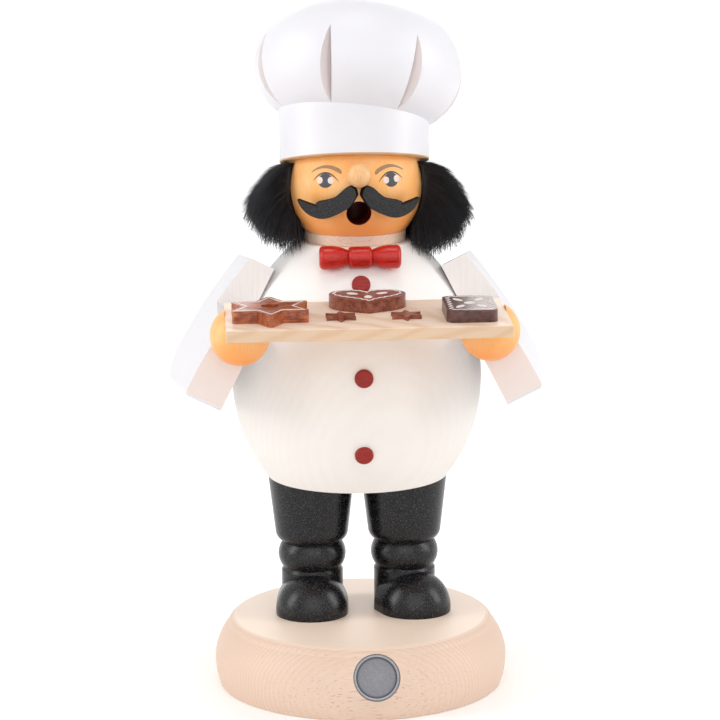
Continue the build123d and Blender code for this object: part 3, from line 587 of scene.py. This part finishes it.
# A random value has its limits at sockets 2 and 3 and its result at 1 when it is a plain number
growth = add(pile, "FunctionNodeRandomValue", {2: 0.7, 3: 1.12, "Seed": given["Seed"]}, data_type="FLOAT")
lock_growth = add(pile, "FunctionNodeSeparateColor", {0: tufts.outputs["Color"]})
lock_growth = add(
    pile, "ShaderNodeMapRange", {"Value": lock_growth.outputs[0], "To Min": 0.92, "To Max": 1.06}
)
size = add(pile, "ShaderNodeVectorMath", {0: lean.outputs[0]}, operation="LENGTH")
size = add(pile, "ShaderNodeMath", {0: size.outputs["Value"], 1: growth.outputs[1]}, operation="MULTIPLY")
size = add(pile, "ShaderNodeMath", {0: size.outputs[0], 1: lock_growth.outputs[0]}, operation="MULTIPLY")
stand = add(pile, "FunctionNodeAlignRotationToVector", {"Vector": lean.outputs[0]}, axis="Z")
stand = add(
    pile,
    "FunctionNodeAlignRotationToVector",
    {"Rotation": stand.outputs[0], "Vector": (0, 0, 1)},
    axis="X",
    pivot_axis="Z",
)
fibre = add(
    pile,
    "GeometryNodeCurveQuadraticBezier",
    {"Resolution": 3, "Start": (0, 0, 0), "Middle": (0.2, 0, 0.5), "End": (0, 0, 1)},
)
along = add(pile, "GeometryNodeSplineParameter")
slim = add(
    pile, "ShaderNodeMapRange", {"Value": along.outputs["Factor"], "To Min": 1.0, "To Max": 0.25}
)
slim = add(pile, "ShaderNodeMath", {0: slim.outputs[0], 1: given["Fibre Slimness"]}, operation="MULTIPLY")
round_wire = add(pile, "GeometryNodeCurvePrimitiveCircle", {"Resolution": 3, "Radius": 1.0})
fibre = add(
    pile,
    "GeometryNodeCurveToMesh",
    {"Curve": fibre.outputs[0], "Profile Curve": round_wire.outputs[0], "Scale": slim.outputs[0]},
)
grown = add(
    pile,
    "GeometryNodeInstanceOnPoints",
    {
        "Points": roots.outputs["Points"],
        "Instance": fibre.outputs[0],
        "Rotation": stand.outputs[0],
        "Scale": size.outputs[0],
    },
)
shade = add(pile, "FunctionNodeRandomValue", {2: 0.0, 3: 1.0, "Seed": given["Seed"]}, data_type="FLOAT")
grown = add(
    pile,
    "GeometryNodeStoreNamedAttribute",
    {"Geometry": grown.outputs[0], "Name": "strand", "Value": shade.outputs[1]},
    data_type="FLOAT",
    domain="INSTANCE",
)
grown = add(pile, "GeometryNodeRealizeInstances", {0: grown.outputs[0]})
grown = add(pile, "GeometryNodeSetShadeSmooth", {"Geometry": grown.outputs[0]})
grown = add(pile, "GeometryNodeSetMaterial", {"Geometry": grown.outputs[0], "Material": plush})
add(pile, "NodeGroupOutput", {0: grown.outputs[0]})


def made_by(tree, source, name, **sizes):
    """Plain mesh object of what a geometry tree makes from a source object, which is used up."""
    grower = source.modifiers.new(tree.name, "NODES")
    grower.node_group = tree
    for item in tree.interface.items_tree:
        if item.in_out == "INPUT" and item.name.replace(" ", "_") in sizes:
            grower[item.identifier] = sizes[item.name.replace(" ", "_")]
    bpy.context.view_layer.update()
    ready = source.evaluated_get(bpy.context.evaluated_depsgraph_get())
    mesh = bpy.data.meshes.new_from_object(ready)
    mesh.name = name
    source.modifiers.remove(grower)
    bpy.data.objects.remove(source)
    made = bpy.data.objects.new(name, mesh)
    bpy.context.scene.collection.objects.link(made)
    return made


# Four lengths of the strip: the core's face carries the pile, and two more rows carry it over the top edge
hair_pieces = []
rows = 14
steps = 24
shelf_shares = (0.06, 0.5)
shelf_growth = 1.3
longest_fall = 14.0
drops = [first_drop + drop_span * j / rows for j in range(rows + 1)]
quarter = (360 - 2 * temple) / 4
for count, word in enumerate(("left_front", "left_back", "right_back", "right_front")):
    points, falls, faces = [], [], []
    for i in range(steps + 1):
        section = [pile_fan(temple + quarter * (count + i / steps), drop) for drop in drops]
        cloth, core, tip = section[0]
        for share in shelf_shares:
            points.append(cloth.lerp(core, share) * mm)
            falls.append((tip - core) * shelf_growth * mm)
        for cloth, core, tip in section:
            run = tip - core
            points.append(core * mm)
            falls.append(run * min(1.0, longest_fall / run.length) * mm)
    column = rows + 1 + len(shelf_shares)
    for i in range(steps):
        for j in range(column - 1):
            k = i * column + j
            faces.append((k, k + 1, k + column + 1, k + column))
    cloth = bpy.data.meshes.new(f"plush_cloth_{word}")
    cloth.from_pydata(points, [], faces)
    fall_of = cloth.attributes.new("fall", "FLOAT_VECTOR", "POINT")
    fall_of.data.foreach_set("vector", [c for f in falls for c in f])
    strip = bpy.data.objects.new(f"plush_cloth_{word}", cloth)
    bpy.context.scene.collection.objects.link(strip)
    hair_pieces.append(made_by(pile, strip, f"plush_pile_{word}", Seed=first_seed + seed_step * count))

# Core of the pile: the dense part next to the cloth, a closed dark pad that no light comes through
pad_points, pad_faces = [], []
pad_steps = 4 * steps
for i in range(pad_steps + 1):
    section = [pile_fan(temple + quarter * i / steps, drop) for drop in drops]
    pad_points += [cloth * mm for cloth, core, tip in section]
    pad_points += [core * mm for cloth, core, tip in reversed(section)]
loop = 2 * (rows + 1)
for i in range(pad_steps):
    for j in range(loop):
        a = i * loop + j
        b = i * loop + (j + 1) % loop
        pad_faces.append((a, b, b + loop, a + loop))
pad_faces.append(tuple(reversed(range(loop))))
pad_faces.append(tuple(pad_steps * loop + j for j in range(loop)))
pad_mesh = bpy.data.meshes.new("plush_core")
pad_mesh.from_pydata(pad_points, [], pad_faces)
pad_mesh.shade_smooth()
pad_mesh.materials.append(plush)
pad = bpy.data.objects.new("plush_core", pad_mesh)
bpy.context.scene.collection.objects.link(pad)
hair_pieces.append(pad)
for piece in hair_pieces:
    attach(piece, "figure")
    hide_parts("hair")

# Hat: a drum set back on the head and a mushroom crown doweled on top of it, with straight V cuts for pleats.
# Both are turned, sealed and sprayed white; the drum's lower edge is wiped bare.
# White satin lacquer on limewood: clean, cool white and smooth, with a thin warm film on the cut faces.
hat_up = Vector((0, sin(seat_tilt), cos(seat_tilt)))
drum_foot = head_middle.dot(hat_up) + seat_rise
bare_edge = 0.6
painted_edge = 0.9
lacquer, tree, surface, place = start_finish("limewood_white_lacquer", 0.42)
film = add(tree, "ShaderNodeTexNoise", {"Vector": place["Object"], "Scale": 1 / (14 * mm), "Detail": 1.0})
height = add(tree, "ShaderNodeVectorMath", {0: place["Object"], 1: hat_up}, operation="DOT_PRODUCT")
middle = add(tree, "ShaderNodeVectorMath", {0: place["Object"], 1: head_middle * mm}, operation="SUBTRACT")
outward = add(tree, "ShaderNodeVectorMath", {0: middle.outputs[0]}, operation="NORMALIZE")
twist = add(
    tree, "ShaderNodeVectorMath", {0: outward.outputs[0], 1: place["Normal"]}, operation="CROSS_PRODUCT"
)
twist = add(tree, "ShaderNodeVectorMath", {0: twist.outputs[0], 1: hat_up}, operation="DOT_PRODUCT")
twist = add(tree, "ShaderNodeMath", {0: twist.outputs["Value"]}, operation="ABSOLUTE")
tone = layered(
    tree,
    "#ececf1",
    (film.outputs[0], 0.0, 1.0, 1.0, "#eae9ee"),
    (height.outputs["Value"], (drum_foot + painted_edge) * mm, (drum_foot + bare_edge) * mm, 1.0, "#d3a778"),
    (twist.outputs[0], 0.1, 0.22, 1.0, "#ede6e6"),
)
tree.links.new(tone, surface.inputs["Base Color"])
dress(lacquer, "hat_band", "hat_crown")

# Sleeves: bent arms sawn from a thick board, their outer faces rounded and lacquered white. The sawn front
# faces of the upper arm and the cuff are only whitewashed, and a dowel holds each sleeve on the coat's flat.
# White lacquer and thin whitewash on limewood: a smooth cool face, and a near-white sawn one that is painted
# pinker and darker at the cuff, a painted shade under the tray.
toe_in = radians(4)
arm_foot = 145
cuff_top = 135
front_start = 0.9
front_full = 0.97
for word, side in (("right", -1), ("left", 1)):
    sleeve, tree, surface, place = start_finish(f"limewood_sleeve_{word}")
    film = add(tree, "ShaderNodeTexNoise", {"Vector": place["Object"], "Scale": 1 / (6 * mm), "Detail": 3.0})
    saw = fibres(tree, place["Object"], along="Z", length=12, width=0.55)
    height = add(tree, "ShaderNodeSeparateXYZ", {0: place["Object"]}).outputs["Z"]
    ahead = Vector((-side * sin(toe_in), -cos(toe_in), 0))
    front = add(tree, "ShaderNodeVectorMath", {0: place["Normal"], 1: ahead}, operation="DOT_PRODUCT")
    sawn = layered(
        tree,
        "#fffdfc",
        # Below the tray the sawn face is painted pinker and darker, a painted shade under the tray.
        (height, arm_foot * mm, cuff_top * mm, 1.0, "#f3e8e3"),
        (saw, 0.35, 0.7, 0.35, "#f0e4de"),
    )
    tone = layered(
        tree,
        "#eae9ed",
        (film.outputs[0], 0.0, 1.0, 1.0, "#e8e7eb"),
        (front.outputs["Value"], front_start, front_full, 1.0, sawn),
    )
    tree.links.new(tone, surface.inputs["Base Color"])
    gloss = add(
        tree,
        "ShaderNodeMapRange",
        {
            "Value": front.outputs["Value"],
            "From Min": front_start,
            "From Max": front_full,
            "To Min": 0.34,
            "To Max": 0.6,
        },
    )
    tree.links.new(gloss.outputs[0], surface.inputs["Roughness"])
    dress(sleeve, f"sleeve_{word}")

# Tray: a pine board, planed and sawn square, that is left raw and carries the gingerbread.
# It rests in steps sawn into the hands and dips a little to the front.
# Raw pine: pinkish cream with slanting honey-coloured bands of late wood and fine straight fibres.
tray_tilt = radians(2)
pine, tree, surface, place = start_finish("pine_planed_raw", 0.5)
rings = growth_rings(
    tree, place["Object"], turn=(0, radians(11), radians(16)), pith=(0, -26, 58), width=4.4, waver=4.0
)
strands = fibres(tree, place["Object"], along="X", length=26, width=0.5)
facing = add(tree, "ShaderNodeSeparateXYZ", {0: place["Normal"]}).outputs
tone = layered(
    tree,
    "#e7c9ab",
    # Faces turned up are painted paler than the edges, a painted light on the board's top.
    (facing["Z"], 0.3, 0.9, 1.0, "#f4ddca"),
    (rings, 0.45, 1.0, 0.55, "#dcb289"),
    (strands, 0.35, 0.7, 0.3, "#e3c09f"),
)
tree.links.new(tone, surface.inputs["Base Color"])
plane_marks = add(tree, "ShaderNodeBump", {"Strength": 0.2, "Distance": 0.05 * mm, "Height": strands})
tree.links.new(plane_marks.outputs[0], surface.inputs["Normal"])
dress(pine, "tray_board")

# Gingerbread: a star, a heart, a slab and two small stars sawn from thin board, stained like baked dough and
# glued on the tray. The three large ones carry piped white icing, which is thick paint on the real figure.
# Stained alder: baked brown with dark and pale fibres along the sawn sides, the pale ones partly a painted
# sheen, and a dry, satin face.
bake_thickness = 4.4
for name, base, dark, pale, members in (
    ("alder_stain_ginger", "#ae5d38", "#7d391f", "#d38c60", ["gingerbread_star"]),
    ("alder_stain_brown", "#8c4e3c", "#633325", "#a87363", ["gingerbread_heart"]),
    ("alder_stain_dark", "#5b352e", "#3f211c", "#7a5249", ["gingerbread_slab"]),
    ("alder_stain_small", "#95513f", "#633122", "#b07a68", ["mini_star_right", "mini_star_left"]),
):
    dough, tree, surface, place = start_finish(name, 0.32)
    grain = fibres(tree, place["Object"], along="X", length=4, width=0.35)
    cloud = add(tree, "ShaderNodeTexNoise", {"Vector": place["Object"], "Scale": 1 / (3 * mm), "Detail": 3.0})
    bake = add(tree, "ShaderNodeMath", {0: grain, 1: cloud.outputs[0]}, operation="ADD").outputs[0]
    # The pale fibres are partly grain and partly a painted sheen.
    tone = layered(tree, base, (bake, 0.95, 1.18, 1.0, dark), (bake, 0.95, 0.65, 0.7, pale))
    tree.links.new(tone, surface.inputs["Base Color"])
    ridges = add(tree, "ShaderNodeBump", {"Strength": 0.3, "Distance": 0.06 * mm, "Height": grain})
    tree.links.new(ridges.outputs[0], surface.inputs["Normal"])
    dress(dough, *members)

# Icing paint: thick chalky white, a little uneven where the brush or nozzle lifted.
icing, tree, surface, place = start_finish("icing_paint_white", 0.5)
lumps = add(tree, "ShaderNodeTexNoise", {"Vector": place["Object"], "Scale": 1 / (0.8 * mm), "Detail": 2.0})
tone = layered(tree, "#f4eeea", (lumps.outputs[0], 0.0, 1.0, 1.0, "#ddd0ca"))
tree.links.new(tone, surface.inputs["Base Color"])
blobs = add(tree, "ShaderNodeBump", {"Strength": 0.3, "Distance": 0.08 * mm, "Height": lumps.outputs[0]})
tree.links.new(blobs.outputs[0], surface.inputs["Normal"])

# The tree that pipes the icing: a round bead along each path, pressed flat on the face
piping = bpy.data.node_groups.new("icing_piping", "GeometryNodeTree")
piping.interface.new_socket("Geometry", in_out="INPUT", socket_type="NodeSocketGeometry")
for label, value in (("Bead Width", 0.6 * mm), ("Flatness", 0.55)):
    piping.interface.new_socket(label, in_out="INPUT", socket_type="NodeSocketFloat").default_value = value
piping.interface.new_socket("Geometry", in_out="OUTPUT", socket_type="NodeSocketGeometry")
given = add(piping, "NodeGroupInput").outputs
half = add(piping, "ShaderNodeMath", {0: given["Bead Width"], 1: 0.5}, operation="MULTIPLY")
bead = add(piping, "GeometryNodeCurvePrimitiveCircle", {"Resolution": 8, "Radius": half.outputs[0]})
line = add(
    piping,
    "GeometryNodeCurveToMesh",
    {"Curve": given["Geometry"], "Profile Curve": bead.outputs[0], "Fill Caps": True},
)
press = add(piping, "ShaderNodeCombineXYZ", {0: 1.0, 1: 1.0, 2: given["Flatness"]})
line = add(piping, "GeometryNodeTransform", {"Geometry": line.outputs[0], "Scale": press.outputs[0]})
line = add(piping, "GeometryNodeRealizeInstances", {0: line.outputs[0]})
line = add(piping, "GeometryNodeSetShadeSmooth", {"Geometry": line.outputs[0]})
line = add(piping, "GeometryNodeSetMaterial", {"Geometry": line.outputs[0], "Material": icing})
add(piping, "NodeGroupOutput", {0: line.outputs[0]})


def on_top(node):
    """Matrix from a flat drawing to the upper face of a piece of gingerbread."""
    low, high = (Vector(corner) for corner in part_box(node))
    up = Vector((0, -sin(tray_tilt), cos(tray_tilt)))
    middle = (low + high) / 2 + up * bake_thickness / 2 * mm
    back = Vector((0, cos(tray_tilt), sin(tray_tilt)))
    return Matrix.Translation(middle) @ Matrix((Vector((1, 0, 0)), back, up)).transposed().to_4x4()


def pipe(name, node, paths, **sizes):
    """Icing on a piece of gingerbread: paths are (closed, points in mm from the middle of its face)."""
    drawing = bpy.data.curves.new(name, "CURVE")
    drawing.dimensions = "3D"
    for closed, points in paths:
        run = drawing.splines.new("POLY")
        run.points.add(len(points) - 1)
        for spot, (x, y) in zip(run.points, points):
            spot.co = (x * mm, y * mm, 0, 1)
        run.use_cyclic_u = closed
    sketch = bpy.data.objects.new(name, drawing)
    bpy.context.scene.collection.objects.link(sketch)
    bead = made_by(piping, sketch, name, **sizes)
    bead.data.transform(on_top(node))
    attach(bead, "figure")


def petal(x, y, length, width, heading):
    """Closed outline rings of an almond drop, filled from its rim to its middle."""
    turn = radians(heading)
    fill_rings = 4
    corners = 20
    half_bead = 0.3
    point_sharpness = 0.3
    rings = []
    for k in range(fill_rings):
        shrink = 1 - k / fill_rings
        outline = []
        for i in range(corners):
            a = 2 * pi * i / corners
            u = cos(a) * (length / 2 - half_bead) * shrink
            v = sin(a) * abs(sin(a)) ** point_sharpness * (width / 2 - half_bead) * shrink
            outline.append((x + u * cos(turn) - v * sin(turn), y + u * sin(turn) + v * cos(turn)))
        rings.append((True, outline))
    return rings


# Star: one line that follows the outline just inside its edge
star_radius = 16.1
notch_radius = star_radius / sqrt(3)
line_inset = 1.3
star_tips = 6
star_line = []
for i in range(2 * star_tips):
    a = pi / 2 + i * pi / star_tips
    r = star_radius - 2 * line_inset if i % 2 == 0 else notch_radius - line_inset * 2 / sqrt(3)
    star_line.append((r * cos(a), r * sin(a)))
pipe("icing_star", "gingerbread_star", [(True, star_line)], Bead_Width=0.65 * mm)

# Heart: a garland of small scallops round the edge, on the well-known heart curve, and three drops inside it
heart_width = 27.0
heart_length = 20.5
heart_stretch = 0.4
heart_shift = 0.12
scallop = 3.1
scallop_depth = 0.75
heart_steps = 360
heart_line = []
walked = 0.0
last = None
for i in range(heart_steps):
    t = 2 * pi * i / heart_steps
    x = sin(t) ** 3 * (heart_width / 2 - line_inset)
    y = (13 * cos(t) - 5 * cos(2 * t) - 2 * cos(3 * t) - cos(4 * t)) / 16.0
    y = (y + heart_shift) * (heart_length / 2 + heart_stretch) + heart_stretch
    if last:
        walked += hypot(x - last[0], y - last[1])
    last = (x, y)
    inward = scallop_depth * abs(sin(pi * walked / scallop))
    away = hypot(x, y)
    heart_line.append((x * (1 - inward / away), y * (1 - inward / away)))
almonds = petal(x=-5.2, y=3.4, length=4.6, width=2.9, heading=150)
almonds += petal(x=5.2, y=3.4, length=4.6, width=2.9, heading=30)
almonds += petal(x=0, y=-2.4, length=4.4, width=3.0, heading=90)
pipe("icing_heart", "gingerbread_heart", [(True, heart_line)] + almonds, Bead_Width=0.55 * mm)

# Slab: a zigzag down each side, a wavy line along the front and the back, and five petals in a cross
slab_width = 17.6
slab_depth = 24.0
corner_gap = 2
teeth = 13
tooth_depth = 1.4
tooth_inset = 1.1
wave_steps = 40
steps_per_wave = 8
wave_inset = 1.6
wave_height = 0.35
leaf_across = 3.7
leaf_along = 5.4
leaf_turn = 34
slab_lines = []
for side in (-1, 1):
    zigzag = []
    for i in range(teeth + 1):
        x = side * (slab_width / 2 - tooth_inset - tooth_depth * (i % 2))
        zigzag.append((x, slab_depth / 2 - corner_gap - (slab_depth - 2 * corner_gap) * i / teeth))
    slab_lines.append((False, zigzag))
for end in (-1, 1):
    wave = []
    for i in range(wave_steps + 1):
        x = -slab_width / 2 + corner_gap + (slab_width - 2 * corner_gap) * i / wave_steps
        swing = wave_height * cos(2 * pi * i / steps_per_wave)
        wave.append((x, end * (slab_depth / 2 - wave_inset - swing)))
    slab_lines.append((False, wave))
leaves = petal(x=0, y=0, length=4.2, width=4.0, heading=0)
for side in (-1, 1):
    for end in (-1, 1):
        heading = 90 - side * end * leaf_turn
        leaves += petal(x=side * leaf_across, y=end * leaf_along, length=5.2, width=2.4, heading=heading)
pipe("icing_slab", "gingerbread_slab", slab_lines + leaves, Bead_Width=0.5 * mm)

# Studio: a white floor that runs out of sight, a pale tent of light with a tall soft panel at each side, one
# over the lens, one behind and one overhead. The lens is long and a little above the tray.
# Sizes and places in this section are in metres, and powers in watts.
floor_half = 6
floor_sink = 0.2 * mm
paper_mesh = bpy.data.meshes.new("floor_paper")
paper_corners = [
    (x * floor_half, y * floor_half, -floor_sink) for x, y in ((-1, -1), (1, -1), (1, 1), (-1, 1))
]
paper_mesh.from_pydata(paper_corners, [], [(0, 1, 2, 3)])
paper = bpy.data.objects.new("floor_paper", paper_mesh)
bpy.context.scene.collection.objects.link(paper)


def seen_rays(tree):
    """1 for the rays that show the plain background: to the lens, off gloss and through glass."""
    rays = add(tree, "ShaderNodeLightPath").outputs
    seen = rays["Is Camera Ray"]
    for kind in ("Is Glossy Ray", "Is Transmission Ray"):
        seen = add(tree, "ShaderNodeMath", {0: seen, 1: rays[kind]}, operation="MAXIMUM").outputs[0]
    return seen


# White studio paper: matt and a trace uneven, lifted towards white where it runs away from the object.
paper_white, tree, surface, place = start_finish("studio_paper_white", 0.9)
tooth = add(tree, "ShaderNodeTexNoise", {"Vector": place["Object"], "Scale": 1 / (25 * mm)})
tone = layered(tree, "#ffffff", (tooth.outputs[0], 0.0, 1.0, 1.0, "#fdfdfd"))
tree.links.new(tone, surface.inputs["Base Color"])
surface.inputs["Specular IOR Level"].default_value = 0.0
away = add(tree, "ShaderNodeVectorMath", {0: place["Object"]}, operation="LENGTH")
haze = add(
    tree,
    "ShaderNodeMapRange",
    {"Value": away.outputs["Value"], "From Min": 0.15, "From Max": 0.9, "To Min": 0.16, "To Max": 0.7},
)
lift = add(tree, "ShaderNodeMath", {0: seen_rays(tree), 1: haze.outputs[0]}, operation="MULTIPLY")
surface.inputs["Emission Color"].default_value = linear("#ffffff")
tree.links.new(lift.outputs[0], surface.inputs["Emission Strength"])
paper_mesh.materials.append(paper_white)

ambient = 0.44
world = bpy.data.worlds.new("light_tent")
bpy.context.scene.world = world
world.use_nodes = True
tree = world.node_tree
level = add(tree, "ShaderNodeMapRange", {"Value": seen_rays(tree), "To Min": ambient, "To Max": 1.0})
tree.links.new(level.outputs[0], tree.nodes["Background"].inputs["Strength"])
tree.nodes["Background"].inputs["Color"].default_value = linear("#ffffff")

lit_spot = Vector((0, 0, 0.13))
for name, spot, width, height, power in (
    ("panel_left", (-0.95, -0.15, 0.5), 0.3, 0.7, 4.0),
    ("panel_right", (0.95, -0.15, 0.5), 0.3, 0.7, 3.6),
    ("panel_front", (0.0, -1.15, 0.66), 1.3, 1.0, 4.9),
    ("panel_back", (0.0, 1.05, 0.6), 0.8, 0.4, 2.8),
    ("panel_top", (0.0, -0.1, 1.2), 0.4, 0.4, 1.9),
):
    lamp = bpy.data.lights.new(name, "AREA")
    lamp.shape = "RECTANGLE"
    lamp.size = width
    lamp.size_y = height
    lamp.energy = power
    lamp.color = linear("#fffdfb")[:3]
    panel = bpy.data.objects.new(name, lamp)
    panel.location = spot
    panel.rotation_euler = (lit_spot - Vector(spot)).to_track_quat("-Z", "Y").to_euler()
    bpy.context.scene.collection.objects.link(panel)

lens_distance = 1.05
lens_height = 0.330
lens_bearing = radians(3.3)
lens_roll = radians(-0.5)
lens_target = Vector((0.0007, 0, 0.1206))
lens = bpy.data.cameras.new("long_lens")
lens.sensor_width = 36.0
lens.lens = 146.4
camera = bpy.data.objects.new("long_lens", lens)
camera.location = (-lens_distance * sin(lens_bearing), -lens_distance * cos(lens_bearing), lens_height)
level_look = (lens_target - Vector(camera.location)).to_track_quat("-Z", "Y")
camera.rotation_euler = (level_look.to_matrix() @ Matrix.Rotation(lens_roll, 3, "Z")).to_euler()
bpy.context.scene.collection.objects.link(camera)
bpy.context.scene.camera = camera
bpy.context.scene.view_settings.view_transform = "Standard"
